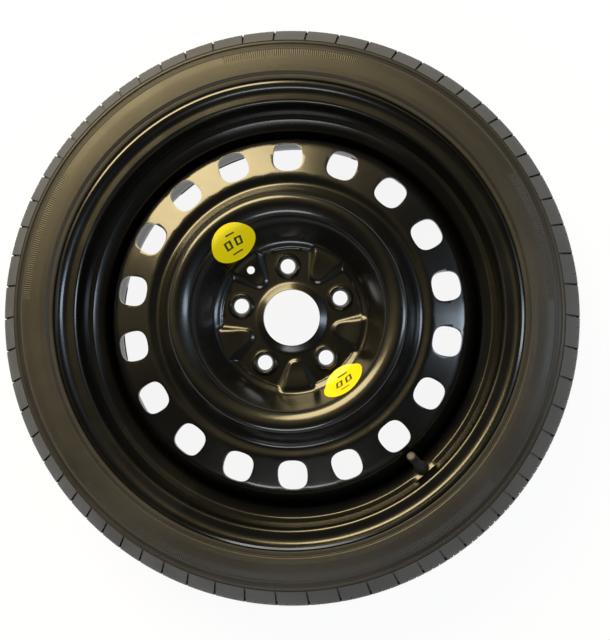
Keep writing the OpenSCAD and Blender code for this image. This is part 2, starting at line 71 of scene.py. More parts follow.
# Half of its width round the wheel, the part of that in which it runs out, and how far below and
# above it the sheet's two faces lie before it is pressed
SLOPE_HALF, SLOPE_FADE, SLOPE_BELOW, SLOPE_ABOVE = math.radians(4.5), math.radians(2.2), 4.5, 2.0
DISC_PATH = [
    (29.05, 40.0, 0), (37.05, 36.5, 9), (71.8, 36.5, 0.8), (72.8, 38.2, 3.4), (79.5, 40.8, 8),
    (97.0, 75.8, 12), (106.0, 80.0, 16), (114.5, 80.0, 10), (132.0, 52.2, 6), (141.5, 56.4, 9),
    (178.3, 49.0, 10), (199.54, 3.0, 12), (199.54, -20.0, 0),
]
DISC_SHEET = 3.5
DISC_FOOT = -20.0
PAD_HEIGHT = 36.5
PAD_BACK = 33.0
PAD_RADIUS = 71.8
GROOVE_FLOOR = 299.4
TYRE_SIDE = [
    (217.36, 37.8, 2), (218.5, 50.6, 8), (235.6, 50.6, 7.5), (235.6, 61.4, 1),
    (239.0, 61.95, 0.6), (239.8, 61.2, 0), (240.6, 62.0, 0), (241.4, 61.4, 0), (242.7, 62.4, 1),
    (257.5, 62.5, 26), (264.6, 61.1, 2), (265.6, 61.3, 0), (266.4, 60.8, 0), (267.5, 60.0, 0.8),
    (268.9, 57.6, 0), (272.7, 55.7, 0.5), (273.8, 57.0, 0.4), (275.8, 56.3, 0.4),
    (276.2, 54.9, 0), (277.3, 54.0, 0), (278.0, 54.3, 0),
    (300.4, 33.5, 22), (302.15, 20.25, 0.4), (GROOVE_FLOOR, 19.48, 0), (GROOVE_FLOOR, 15.52, 0),
    (302.75, 14.75, 0.4), (303.39, 2.75, 0.4), (GROOVE_FLOOR, 1.98, 0),
]
TYRE_INSIDE = [
    (292.4, 0, 0), (291.4, 23.5, 26), (256.5, 54.5, 22), (236.5, 47.8, 14), (227.3, 39.3, 6),
]


# Profiles


# The largest share of a side that one fillet takes, half of the angle from which a corner counts
# as straight, and the largest fillet that may be one flat step
FILLET_SHARE, STRAIGHT, SMALL_FILLET = 0.49, math.radians(89.5), 0.7


def rounded(path, step):
    """A path of (radius, height, fillet) corners as points, rounded in steps of step degrees."""
    points = []
    for i, (x, y, fillet) in enumerate(path):
        b = Vector((x, y))
        if fillet <= 0 or i in (0, len(path) - 1):
            points.append(b)
            continue
        a, c = Vector(path[i - 1][:2]), Vector(path[i + 1][:2])
        to_a, to_c = (a - b).normalized(), (c - b).normalized()
        half = math.acos(max(-1.0, min(1.0, to_a.dot(to_c)))) / 2
        if half > STRAIGHT:
            points.append(b)
            continue
        radius = min(fillet, math.tan(half) * FILLET_SHARE * min((a - b).length, (c - b).length))
        hub = b + (to_a + to_c).normalized() * radius / math.sin(half)
        first = b + to_a * radius / math.tan(half) - hub
        last = b + to_c * radius / math.tan(half) - hub
        start = math.atan2(first.y, first.x)
        turn = (math.atan2(last.y, last.x) - start + 3 * math.pi) % (2 * math.pi) - math.pi
        fewest = 2 if radius > SMALL_FILLET else 1
        steps = max(fewest, math.ceil(abs(math.degrees(turn)) / step))
        for k in range(steps + 1):
            angle = start + turn * k / steps
            points.append(hub + radius * Vector((math.cos(angle), math.sin(angle))))
    return points


def moved(path, distance):
    """The same path moved sideways, to the left of its direction where distance is positive."""
    def left(p, q):
        d = (Vector(q[:2]) - Vector(p[:2])).normalized()
        return Vector((-d.y, d.x))

    out = []
    last = len(path) - 1
    for i, (x, y, fillet) in enumerate(path):
        n1 = left(path[max(i, 1) - 1], path[max(i, 1)])
        n2 = left(path[min(i, last - 1)], path[min(i, last - 1) + 1])
        shift = (n1 + n2) / (1 + n1.dot(n2)) * distance
        turn = n1.x * n2.y - n1.y * n2.x
        keep = 0 if fillet <= 0 else max(fillet - math.copysign(1, turn) * distance, 0.3)
        out.append((x + shift.x, y + shift.y, keep))
    return out


def mirrored(path):
    return [(x, -y, fillet) for x, y, fillet in reversed(path)]


def spaced(points, longest):
    """The same points with more between any two that are further apart than longest."""
    out = [points[0]]
    for a, b in zip(points, points[1:]):
        parts = max(1, math.ceil((b - a).length / longest - 1e-6))
        out += [a.lerp(b, k / parts) for k in range(1, parts + 1)]
    return out


class Curve:
    """A profile by the length along it, so that a flat blank can be pressed to its shape."""

    def __init__(self, points, start):
        self.points = points
        self.at = [start]
        for a, b in zip(points, points[1:]):
            self.at.append(self.at[-1] + (b - a).length)

    def place(self, s):
        last = len(self.points) - 2
        i = 0
        while i < last and self.at[i + 1] < s:
            i += 1
        t = (s - self.at[i]) / (self.at[i + 1] - self.at[i])
        return self.points[i].lerp(self.points[i + 1], t)

    def length_at_radius(self, radius):
        for i in range(len(self.points) - 1):
            a, b = self.points[i], self.points[i + 1]
            if (a.x - radius) * (b.x - radius) <= 0 and a.x != b.x:
                return self.at[i] + (self.at[i + 1] - self.at[i]) * (radius - a.x) / (b.x - a.x)
        raise RuntimeError("the profile never reaches that radius")


# Meshes


def spun(points, steps, closed):
    """A mesh turned from a profile of (radius, height) points, in millimetres."""
    bm = bmesh.new()
    verts = [bm.verts.new((p.x, 0, p.y)) for p in points]
    ends = verts[1:] + verts[:1] if closed else verts[1:]
    edges = [bm.edges.new(pair) for pair in zip(verts, ends)]
    bmesh.ops.spin(bm, geom=verts + edges, cent=(0, 0, 0), axis=(0, 0, 1), dvec=(0, 0, 0),
                   angle=2 * math.pi, steps=steps, use_merge=True, use_duplicate=False)
    bmesh.ops.remove_doubles(bm, verts=bm.verts, dist=1e-4)
    return bm


def finished(bm, name, material, sharp):
    """Makes the piece from a mesh in millimetres, and lets it ride on the wheel's body.

    Edges that bend by more than sharp degrees stay crisp."""
    bmesh.ops.translate(bm, verts=bm.verts, vec=(0, 0, CENTRE_PLANE))
    bmesh.ops.scale(bm, verts=bm.verts, vec=(MM, MM, MM))
    bmesh.ops.recalc_face_normals(bm, faces=bm.faces)
    mesh = bpy.data.meshes.new(name)
    bm.to_mesh(mesh)
    bm.free()
    mesh.materials.append(material)
    mesh.shade_smooth()
    mesh.set_sharp_from_angle(angle=math.radians(sharp))
    piece = bpy.data.objects.new(name, mesh)
    bpy.context.scene.collection.objects.link(piece)
    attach(piece, ROOT_BODY)
    return piece


def thickened(bm, thickness, upright=None):
    """Gives an open sheet its thickness below its upper side, or above it where it is negative.

    Where upright gives a vertex 1, its wall stands straight up, and where 0, square to the sheet.
    It returns the edges of both sides along the sheet's border and its openings."""
    bmesh.ops.recalc_face_normals(bm, faces=bm.faces)
    if sum(f.normal.z * f.calc_area() for f in bm.faces) < 0:
        bmesh.ops.reverse_faces(bm, faces=bm.faces)
    bm.normal_update()
    below = {}
    for v in bm.verts:
        shift = v.normal * thickness
        if upright:
            shift = shift.lerp(Vector((0, 0, thickness / max(v.normal.z, 0.5))), upright(v))
        below[tuple(round(c, 5) for c in v.co)] = shift
    made = bmesh.ops.extrude_face_region(bm, geom=bm.faces[:], use_keep_orig=True)["geom"]
    new = {g for g in made if isinstance(g, bmesh.types.BMVert)}
    for v in new:
        v.co -= below[tuple(round(c, 5) for c in v.co)]
    walls = [f for f in bm.faces
             if any(v in new for v in f.verts) and any(v not in new for v in f.verts)]
    return list({e for f in walls for e in f.edges if (e.verts[0] in new) == (e.verts[1] in new)})


def polar(x, y):
    return math.hypot(x, y), math.atan2(y, x)


def ease(t):
    t = max(0.0, min(1.0, t))
    return t * t * (3 - 2 * t)


def blunt_square(half_long, half_wide, power):
    """The outline of a square with very round corners, as its radius in a direction."""
    def radius(angle):
        c, s = abs(math.cos(angle)) / half_long, abs(math.sin(angle)) / half_wide
        return (c ** power + s ** power) ** (-1 / power)
    return radius


class Hole:
    """One hole of the flat blank: a block of faces comes out, and the rest is eased round it."""

    def __init__(self, curve, radius, angle, lean):
        self.radius, self.angle, self.cos = radius, angle, math.cos(lean)
        self.s = curve.length_at_radius(radius)

    def local(self, v):
        s, a = polar(v.co.x, v.co.y)
        r = self.radius + (s - self.s) * self.cos
        return Vector(((r * math.cos(a - self.angle) - self.radius) / self.cos,
                       r * math.sin(a - self.angle)))

    def put(self, v, p):
        x = self.radius + p.x * self.cos
        r, a = polar(x, p.y)
        s = self.s + (r - self.radius) / self.cos
        v.co.x, v.co.y = s * math.cos(a + self.angle), s * math.sin(a + self.angle)

    def open(self, bm, half, reach, outline):
        """Takes out the faces within half of the middle, and eases the others out to reach."""
        near = {}
        for v in bm.verts:
            s, a = polar(v.co.x, v.co.y)
            if abs(s - self.s) < reach * 1.3:
                p = self.local(v)
                if max(abs(p.x), abs(p.y)) < reach * 1.2:
                    near[v] = p
        block = []
        for f in {f for v in near for f in v.link_faces}:
            if all(v in near for v in f.verts):
                mid = sum((near[v] for v in f.verts), Vector((0, 0))) / len(f.verts)
                if max(abs(mid.x), abs(mid.y)) < half:
                    block.append(f)
        inside = set(block)
        rim = {e for f in block for e in f.edges if any(g not in inside for g in e.link_faces)}
        loop = {v for e in rim for v in e.verts}
        edges = list(rim)
        widest = max(max(abs(near[v].x), abs(near[v].y)) for v in loop)
        bmesh.ops.delete(bm, geom=block, context="FACES")
        for v, p in near.items():
            if not v.is_valid:
                continue
            angle = math.atan2(p.y, p.x)
            ring = Vector((math.cos(angle), math.sin(angle))) * outline(angle)
            if v in loop:
                self.put(v, ring)
            else:
                c = max(abs(p.x), abs(p.y)) / widest
                t = ease((c - 1) / (reach / widest - 1))
                self.put(v, (ring * c).lerp(p, t))
        return edges

    def inner_ring(self, bm, edges, radius):
        """Adds a ring of faces from the hole's edges inwards, and returns its inner edges."""
        made = bmesh.ops.extrude_edge_only(bm, edges=edges)["geom"]
        for v in [g for g in made if isinstance(g, bmesh.types.BMVert)]:
            self.put(v, self.local(v).normalized() * radius)
        return [g for g in made if isinstance(g, bmesh.types.BMEdge)
                and all(abs(self.local(v).length - radius) < 0.05 for v in g.verts)]


# Sizes and colours that a user would change


class TyreSettings(PropertyGroup):
    blocks: IntProperty(name="Shoulder blocks", description="Blocks around each shoulder",
                        default=66, min=48, max=72)
    slot: FloatProperty(name="Slot width", description="Width of the slots between the blocks",
                        default=0.0022, min=0.001, max=0.004, unit="LENGTH")
    slot_depth: FloatProperty(name="Slot depth", description="Depth of the slots at the shoulder",
                              default=0.004, min=0.001, max=0.005, unit="LENGTH")
    sipe: FloatProperty(name="Sipe width", description="Width of the fine cuts in each block",
                        default=0.0009, min=0.0004, max=0.0015, unit="LENGTH")
    sipe_depth: FloatProperty(name="Sipe depth", description="Depth of the fine cuts in each block",
                              default=0.0022, min=0.001, max=0.004, unit="LENGTH")
    pitch_swing: FloatProperty(name="Pitch swing",
                               description="Variation of the block length, in blocks",
                               default=0.5, min=0, max=0.6)
    pitch_waves: IntProperty(name="Pitch waves",
                             description="How often the block length varies in a turn",
                             default=4, min=1, max=6)
    rubber: FloatVectorProperty(name="Rubber", description="Colour of the tyre's rubber",
                                default=(0.019, 0.0178, 0.0145), min=0, max=1, subtype="COLOR")


class WheelSettings(PropertyGroup):
    steps: IntProperty(name="Steps around", description="Steps of the rim's and the disc's turning",
                       default=324, min=180, max=432)
    vents: IntProperty(name="Vents", description="Number of vents", default=18, min=16, max=18)
    vent_long: FloatProperty(name="Vent length", description="Size of a vent along the radius",
                             default=0.031, min=0.028, max=0.032, unit="LENGTH")
    vent_wide: FloatProperty(name="Vent width", description="Size of a vent around the ring",
                             default=0.030, min=0.027, max=0.031, unit="LENGTH")
    paint: FloatVectorProperty(name="Paint", description="Colour of the gloss paint",
                               default=(0.0042, 0.004, 0.0034), min=0, max=1, subtype="COLOR")


class LabelSettings(PropertyGroup):
    width: FloatProperty(name="Label width", description="Diameter of the round labels",
                         default=0.047, min=0.04, max=0.048, unit="LENGTH")
    film: FloatVectorProperty(name="Film", description="Colour of the label's film",
                              default=(0.95, 0.76, 0.0), min=0, max=1, subtype="COLOR")
    ink: FloatVectorProperty(name="Ink", description="Colour of the plain bars on the labels",
                             default=(0.035, 0.04, 0.015), min=0, max=1, subtype="COLOR")


class StageSettings(PropertyGroup):
    key_power: FloatProperty(name="Key light",
                             description="Power of the warm light at the upper left",
                             default=37.0, min=0, unit="POWER")
    cool_power: FloatProperty(name="Cool light", description="Power of the cool lights",
                              default=7.0, min=0, unit="POWER")
    room: FloatProperty(name="Room light", description="Strength of the room's even light",
                        default=0.48, min=0, max=2)


# Shader groups and materials


def group(name, inputs, outputs):
    """A new shader node group with named sockets: (name, socket type, default)."""
    tree = bpy.data.node_groups.new(name, "ShaderNodeTree")
    for label, kind, value in inputs:
        socket = tree.interface.new_socket(name=label, in_out="INPUT", socket_type=kind)
        if value is not None:
            socket.default_value = value
    for label, kind in outputs:
        tree.interface.new_socket(name=label, in_out="OUTPUT", socket_type=kind)
    return tree, tree.nodes.new("NodeGroupInput"), tree.nodes.new("NodeGroupOutput")


class Wires:
    """Short ways to add nodes to one tree. An input is a socket, or the value to set."""

    def __init__(self, tree):
        self.tree = tree

    def node(self, kind, settings=None, **inputs):
        n = self.tree.nodes.new(kind)
        for key, value in (settings or {}).items():
            setattr(n, key, value)
        for key, value in inputs.items():
            self.feed(n.inputs[key.replace("_", " ")], value)
        return n

    def feed(self, socket, value):
        if isinstance(value, bpy.types.NodeSocket):
            self.tree.links.new(value, socket)
        else:
            socket.default_value = value

    def math(self, operation, *values):
        n = self.tree.nodes.new("ShaderNodeMath")
        n.operation = operation
        for socket, value in zip(n.inputs, values):
            self.feed(socket, value)
        return n.outputs[0]

    def mix(self, factor, a, b):
        n = self.tree.nodes.new("ShaderNodeMix")
        n.data_type = "RGBA"
        self.feed(n.inputs[0], factor)
        self.feed(n.inputs[6], a)
        self.feed(n.inputs[7], b)
        return n.outputs[2]

    def span(self, value, low, high):
        """0 at low, 1 at high, and a soft change between them."""
        n = self.node("ShaderNodeMapRange", {"interpolation_type": "SMOOTHSTEP"}, Value=value,
                      From_Min=low, From_Max=high)
        return n.outputs[0]

    def noise(self, vector, scale, detail, roughness=0.55):
        n = self.node("ShaderNodeTexNoise", None, Scale=scale, Detail=detail, Roughness=roughness)
        self.feed(n.inputs["Vector"], vector)
        return n.outputs["Fac"]


def speckle_group():
    """Fine dust and soft stains: a mask for the colour and a value for the roughness."""
    tree, source, out = group(
        "dust_and_stains",
        [("Vector", "NodeSocketVector", None), ("Dust", "NodeSocketFloat", 0.2),
         ("Roughness", "NodeSocketFloat", 0.2), ("Spread", "NodeSocketFloat", 0.08)],
        [("Mask", "NodeSocketFloat"), ("Roughness", "NodeSocketFloat")])
    w = Wires(tree)
    vector = source.outputs["Vector"]
    stains = w.span(w.noise(vector, 9.0, 5.0, 0.6), 0.42, 0.72)
    fine = w.span(w.noise(vector, 420.0, 2.0, 0.5), 0.62, 0.74)
    both = w.math("ADD", w.math("MULTIPLY", stains, 0.5), fine)
    mask = w.math("MULTIPLY", both, source.outputs["Dust"])
    w.feed(out.inputs["Mask"], w.math("MINIMUM", mask, 1.0))
    rough = w.math("MULTIPLY_ADD", w.math("SUBTRACT", stains, 0.4), source.outputs["Spread"],
                   source.outputs["Roughness"])
    w.feed(out.inputs["Roughness"], rough)
    return tree


def grain_group():
    """Surface grain as a height: a coarse and a fine noise."""
    tree, source, out = group(
        "surface_grain",
        [("Vector", "NodeSocketVector", None), ("Coarse", "NodeSocketFloat", 60.0),
         ("Fine", "NodeSocketFloat", 600.0), ("Balance", "NodeSocketFloat", 0.4)],
        [("Height", "NodeSocketFloat")])
    w = Wires(tree)
    coarse = w.noise(source.outputs["Vector"], source.outputs["Coarse"], 3.0)
    fine = w.noise(source.outputs["Vector"], source.outputs["Fine"], 3.0)
    w.feed(out.inputs["Height"], w.math("MULTIPLY_ADD", fine, source.outputs["Balance"], coarse))
    return tree


def bar_group():
    """One bar with soft edges, as a mask on a piece's own UV map."""
    tree, source, out = group(
        "printed_bar",
        [("U", "NodeSocketFloat", 0.0), ("V", "NodeSocketFloat", 0.0),
         ("Middle U", "NodeSocketFloat", 0.0), ("Middle V", "NodeSocketFloat", 0.0),
         ("Half width", "NodeSocketFloat", 0.3), ("Half height", "NodeSocketFloat", 0.1)],
        [("Mask", "NodeSocketFloat")])
    w = Wires(tree)
    parts = []
    for axis, middle, half in (("U", "Middle U", "Half width"), ("V", "Middle V", "Half height")):
        off = w.math("ABSOLUTE", w.math("SUBTRACT", source.outputs[axis], source.outputs[middle]))
        inside = w.math("SUBTRACT", source.outputs[half], off)
        parts.append(w.span(inside, 0.0, 0.02))
    w.feed(out.inputs["Mask"], w.math("MULTIPLY", *parts))
    return tree


def made_once(name, make):
    return bpy.data.node_groups.get(name) or make()


def new_material(name):
    material = bpy.data.materials.new(name)
    material.use_nodes = True
    tree = material.node_tree
    tree.nodes.clear()
    w = Wires(tree)
    shader = w.node("ShaderNodeBsdfPrincipled")
    out = w.node("ShaderNodeOutputMaterial")
    tree.links.new(shader.outputs[0], out.inputs[0])
    coords = w.node("ShaderNodeTexCoord").outputs["Object"]
    return material, w, shader, coords


def bump(w, shader, height, strength, distance):
    n = w.node("ShaderNodeBump", None, Strength=strength, Distance=distance, Height=height)
    w.feed(shader.inputs["Normal"], n.outputs[0])


def add_group(w, tree, **inputs):
    n = w.tree.nodes.new("ShaderNodeGroup")
    n.node_tree = tree
    for key, value in inputs.items():
        w.feed(n.inputs[key.replace("_", " ")], value)
    return n


def film_and_grain(w, coords, dust, roughness, spread, coarse, fine, balance):
    """The nodes for dust and stains, and for grain, that every finish of the wheel has."""
    film = add_group(w, made_once("dust_and_stains", speckle_group), Vector=coords, Dust=dust,
                     Roughness=roughness, Spread=spread)
    grain = add_group(w, made_once("surface_grain", grain_group), Vector=coords, Coarse=coarse,
                      Fine=fine, Balance=balance)
    return film, grain


def paint_material(name, colour, roughness, dust):
    """Gloss paint over pressed steel, with orange peel and a little dust."""
    material, w, shader, coords = new_material(name)
    film, grain = film_and_grain(w, coords, dust, roughness, 0.1, 170.0, 900.0, 0.25)
    dusty = tuple(c * 0.6 + 0.03 for c in colour)
    w.feed(shader.inputs["Base Color"], w.mix(film.outputs["Mask"], (*colour, 1), (*dusty, 1)))
    w.feed(shader.inputs["Roughness"], film.outputs["Roughness"])
    shader.inputs["Coat Weight"].default_value = 0.25
    shader.inputs["Coat Roughness"].default_value = 0.12
    shader.inputs["IOR"].default_value = 1.6
    bump(w, shader, grain.outputs["Height"], 0.25, 0.00006)
    return material


def rubber_material(name, colour, roughness):
    """Moulded black rubber with fine grain and dust."""
    material, w, shader, coords = new_material(name)
    film, grain = film_and_grain(w, coords, 0.35, roughness, 0.12, 260.0, 1500.0, 0.6)
    pale = tuple(min(1, c * 1.7 + 0.012) for c in colour)
    w.feed(shader.inputs["Base Color"], w.mix(film.outputs["Mask"], (*colour, 1), (*pale, 1)))
    w.feed(shader.inputs["Roughness"], film.outputs["Roughness"])
    bump(w, shader, grain.outputs["Height"], 0.5, 0.00012)
    return material


# The sidewall's fine relief: cuts and patches of cuts in a turn, and the rings' pitch in metres
SERRATIONS, PATCHES, RING_PITCH = 780.0, 5.0, 0.0011


def tyre_material(colour):
    """Sidewall rubber: browner on the side, greyer on the tread, with moulded fine lines."""
    material, w, shader, coords = new_material("tyre_rubber")
    film, grain = film_and_grain(w, coords, 0.5, 0.5, 0.12, 230.0, 1400.0, 0.6)
    split = w.node("ShaderNodeSeparateXYZ", None, Vector=coords)
    x, y = split.outputs["X"], split.outputs["Y"]
    radius = w.math("SQRT", w.math("ADD", w.math("MULTIPLY", x, x), w.math("MULTIPLY", y, y)))
    angle = w.math("ARCTAN2", y, x)
    lines = w.math("SINE", w.math("MULTIPLY", angle, SERRATIONS))
    band = w.math("MULTIPLY", w.span(radius, 0.2576, 0.2582), w.span(radius, 0.2652, 0.2646))
    patches = w.span(w.math("SINE", w.math("MULTIPLY", angle, PATCHES)), 0.25, 0.32)
    serration = w.math("MULTIPLY", w.math("MULTIPLY", lines, band), patches)
    rings = w.math("SINE", w.math("MULTIPLY", radius, 2 * math.pi / RING_PITCH))
    ring_band = w.math("MULTIPLY", w.span(radius, 0.2425, 0.2435), w.span(radius, 0.2485, 0.2475))
    fine_rings = w.math("MULTIPLY", w.math("MULTIPLY", rings, ring_band), 0.45)
    relief = w.math("MULTIPLY_ADD", serration, 0.9, fine_rings)
    height = w.math("MULTIPLY_ADD", grain.outputs["Height"], 0.7, relief)
    tread = w.span(radius, 0.272, 0.285)
    side = tuple(c * k for c, k in zip(colour, (1.12, 1.03, 0.9)))
    cool = tuple(c * k for c, k in zip(colour, (1.1, 1.12, 1.05)))
    base = w.mix(tread, (*side, 1), (*cool, 1))
    pale = tuple(min(1, c * 1.5 + 0.01) for c in side)
    w.feed(shader.inputs["Base Color"], w.mix(film.outputs["Mask"], base, (*pale, 1)))
    w.feed(shader.inputs["Roughness"], film.outputs["Roughness"])
    bump(w, shader, height, 0.6, 0.00022)
    return material


def metal_material(name, colour, roughness):
    """Turned brass or drawn steel with a fine grain, and dust and stains."""
    material, w, shader, coords = new_material(name)
    film, grain = film_and_grain(w, coords, 0.3, roughness, 0.15, 900.0, 4000.0, 0.6)
    dull = tuple(c * 0.62 for c in colour)
    w.feed(shader.inputs["Base Color"], w.mix(film.outputs["Mask"], (*colour, 1), (*dull, 1)))
    w.feed(shader.inputs["Roughness"], film.outputs["Roughness"])
    shader.inputs["Metallic"].default_value = 1.0
    bump(w, shader, grain.outputs["Height"], 0.3, 0.00003)
    return material


# The labels' bars and the openings in two of them, in shares of the label's radius:
# (middle u, middle v, half width, half height)
PRINT_BARS = ((0, 0.56, 0.2, 0.05), (-0.24, 0.03, 0.17, 0.26), (0.24, 0.03, 0.17, 0.26),
              (0, -0.56, 0.27, 0.055))
PRINT_OPENINGS = ((-0.24, 0.03, 0.075, 0.165), (0.24, 0.03, 0.075, 0.165))


def label_material(film_colour, ink):
    """Yellow film with plain dark bars where the print would be."""
    material, w, shader, coords = new_material("label_film")
    uv = w.node("ShaderNodeUVMap", {"uv_map": "print"})
    split = w.node("ShaderNodeSeparateXYZ", None, Vector=uv.outputs[0])

    def printed(bars):
        mask = 0.0
        for u, v, half_wide, half_high in bars:
            bar = add_group(w, made_once("printed_bar", bar_group), U=split.outputs["X"],
                            V=split.outputs["Y"], Middle_U=u, Middle_V=v, Half_width=half_wide,
                            Half_height=half_high)
            mask = w.math("MAXIMUM", mask, bar.outputs["Mask"])
        return mask

    openings = printed(PRINT_OPENINGS)
    mask = w.math("MULTIPLY", printed(PRINT_BARS), w.math("SUBTRACT", 1.0, openings))
    film, grain = film_and_grain(w, coords, 0.12, 0.42, 0.1, 120.0, 900.0, 0.3)
    worn = tuple(c * 0.86 for c in film_colour)
    base = w.mix(film.outputs["Mask"], (*film_colour, 1), (*worn, 1))
    w.feed(shader.inputs["Base Color"], w.mix(mask, base, (*ink, 1)))
    w.feed(shader.inputs["Roughness"], film.outputs["Roughness"])
    bump(w, shader, grain.outputs["Height"], 0.2, 0.00005)
    return material


def gloss_paint(context):
    """The paint of the rim and the disc, made once for both."""
    name, colour = "gloss_black_paint", tuple(context.scene.spare_wheel.paint)
    return bpy.data.materials.get(name) or paint_material(name, colour, 0.24, 0.06)


# Operators


# Radius at the shoulder blocks' feet, and height of the slots' inner ends
BLOCK_FOOT, SLOT_END = 277.9, 26.5
# On the tyre's outer face a point's radius and this share of its height add up to more than this
OUTSIDE_SHARE, OUTSIDE_SUM = 1.08, 326.0
# Heights between which a block's fine cuts lie, and radius and half width of the two middle ribs
SIPE_FOOT, SIPE_TOP, RIB_RADIUS, RIB_HALF = SLOT_END - 3, 37.0, 302.0, 14.7
# The cuts go in square to the tread, and from the first height, over the second, they turn to the
# sidewall: by this share less inwards and this share more towards the centre plane
TURN_FROM, TURN_OVER, TURN_INWARDS, TURN_DOWN = 24.0, 18.0, 0.35, 0.75
# A cut's share of its depth at the blocks' feet, and the radius over which it deepens
FOOT_SHARE, DEEPEN_OVER = 0.35, 14.0


class SPARE_OT_tyre(Operator):
    """Turns the tyre and cuts its shoulder slots and sipes"""
    bl_idname = "spare.tyre"
    bl_label = "Tyre"

    def execute(self, context):
        sizes = context.scene.spare_tyre
        side = spaced(rounded([*TYRE_SIDE, (GROOVE_FLOOR, 0, 0)], 13.0), 12.0)[:-1]
        other = [Vector((p.x, -p.y)) for p in reversed(side)]
        lining = rounded([*mirrored(TYRE_INSIDE), *TYRE_INSIDE[1:]], 30.0)
        section = side + [Vector((GROOVE_FLOOR, 0))] + other + lining
        # Columns of one block: slot, rubber, sipe, rubber, sipe, rubber
        shares = [("slot", sizes.slot / MM), ("land", None), ("sipe", sizes.sipe / MM),
                  ("land", None), ("sipe", sizes.sipe / MM), ("land", None)]
        columns = len(shares)
        count = sizes.blocks
        bm = spun(section, count * columns, closed=True)
        tread_r = max(p.x for p in section)

        def block_edge(i):
            wave = math.sin(2 * math.pi * sizes.pitch_waves * i / count)
            return 2 * math.pi * (i + sizes.pitch_swing * wave) / count

        borders = []
        for i in range(count):
            start, end = block_edge(i), block_edge(i + 1)
            land = (end - start - sum(w for _, w in shares if w) / tread_r) / 3
            at = start
            for _, width in shares:
                borders.append(at)
                at += width / tread_r if width else land
        for v in bm.verts:
            r, a = polar(v.co.x, v.co.y)
            column = round(a / (2 * math.pi) * count * columns) % (count * columns)
            v.co.x, v.co.y = r * math.cos(borders[column]), r * math.sin(borders[column])

        def column_of(face):
            mid = face.calc_center_median()
            a = math.atan2(mid.y, mid.x) % (2 * math.pi)
            low, high = 0, len(borders)
            turned = (a - borders[0]) % (2 * math.pi)
            while low < high:
                middle = (low + high) // 2
                if (borders[middle] - borders[0]) % (2 * math.pi) <= turned:
                    low = middle + 1
                else:
                    high = middle
            return (low - 1) % columns

        cuts = {"slot": [], "sipe": []}
        for f in bm.faces:
            mid = f.calc_center_median()
            r, z = math.hypot(mid.x, mid.y), abs(mid.z)
            kind = shares[column_of(f)][0]
            outside = r + OUTSIDE_SHARE * z > OUTSIDE_SUM
            cuts_here = SIPE_FOOT < z < SIPE_TOP or r > RIB_RADIUS and z < RIB_HALF
            if kind == "slot" and outside and r > BLOCK_FOOT and z > SLOT_END:
                cuts["slot"].append(f)
            elif kind == "sipe" and outside and cuts_here:
                cuts["sipe"].append(f)
        for kind, depth in (("slot", sizes.slot_depth / MM), ("sipe", sizes.sipe_depth / MM)):
            faces = [f for f in cuts[kind] if f.is_valid]
            made = bmesh.ops.extrude_face_region(bm, geom=faces)["geom"]
            bmesh.ops.delete(bm, geom=[f for f in faces if f.is_valid], context="FACES")
            for v in [g for g in made if isinstance(g, bmesh.types.BMVert)]:
                r, _ = polar(v.co.x, v.co.y)
                lean = ease((abs(v.co.z) - TURN_FROM) / TURN_OVER)
                inwards = (1 - TURN_INWARDS * lean) / r
                away = Vector((v.co.x * inwards, v.co.y * inwards,
                               math.copysign(TURN_DOWN * lean, v.co.z))).normalized()
                deepening = ease((r - BLOCK_FOOT) / DEEPEN_OVER)
                v.co -= away * depth * (FOOT_SHARE + (1 - FOOT_SHARE) * deepening)
        piece = finished(bm, "tyre_moulded", tyre_material(tuple(sizes.rubber)), sharp=32.0)
        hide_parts("tyre")
        return {"FINISHED"}


class SPARE_OT_rim(Operator):
    """Turns the rolled rim from its section"""
    bl_idname = "spare.rim"
    bl_label = "Rim"

    def execute(self, context):
        outer = spaced(rounded(RIM_PATH, 11.0), 14.0)
        inner = spaced(rounded(moved(RIM_PATH, -RIM_SHEET), 8.0), 12.0)
        steps = context.scene.spare_wheel.steps * 3 // 2
        bm = spun(outer + list(reversed(inner)), steps, closed=True)
        self.flatten_at_valve(bm, inner)
        piece = finished(bm, "rim_rolled", gloss_paint(context), sharp=50.0)
        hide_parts("rim")
        return {"FINISHED"}

    @staticmethod
    def flatten_at_valve(bm, visible):
        """Presses the valve's plain slope into the stepped side of the drop centre."""
        across = Vector((SLOPE_DOWN.y, -SLOPE_DOWN.x))
        for v in bm.verts:
            r, a = polar(v.co.x, v.co.y)
            off = abs((a - VALVE_AZIMUTH + math.pi) % (2 * math.pi) - math.pi)
            p = Vector((r, v.co.z))
            along, out = (p - SLOPE_TOP).dot(SLOPE_DOWN), (p - SLOPE_TOP).dot(across)
            share = (ease((SLOPE_HALF - off) / SLOPE_FADE) * ease((along + 1) / 2)
                     * ease((SLOPE_LENGTH + 1 - along) / 2))
            if share <= 0 or not -SLOPE_BELOW < out < SLOPE_ABOVE:
                continue
            seen = min((p - q).length for q in visible) < 0.01
            p += across * ((0 if seen else -RIM_SHEET) - out) * share
            v.co = (p.x * math.cos(a), p.x * math.sin(a), p.y)


# The fans' edges are wider towards the pad's own edge, and rise by a constant share of their width
FAN_TIP, FAN_RADIUS, FAN_SPREAD, FAN_STEEPNESS = 52.0, 10.5, math.radians(30), 0.43
FAN_EDGE, FAN_EDGE_GAIN, FAN_GAIN_FROM, FAN_GAIN_OVER = 5.0, 4.2, 50.0, 24.0
# Radius from which the fans rise out of the pad, the softness of the crease where they meet the
# wall, and the height over which it dies away
FAN_FROM, CREASE, CREASE_HEIGHT = 40.0, 0.9, 3.0
BOLT_CIRCLE, BOLT_FIRST, BOLTS = 54.0, math.radians(22.7), 5
PILOT_RADIUS, PILOT_HOLE = 64.5, 4.1
VENT_CIRCLE, VENT_FIRST = 160.7, math.radians(10.9)
VENT_LEAN, VENT_SQUARENESS = math.atan2(6.0, 31.5), 2.7
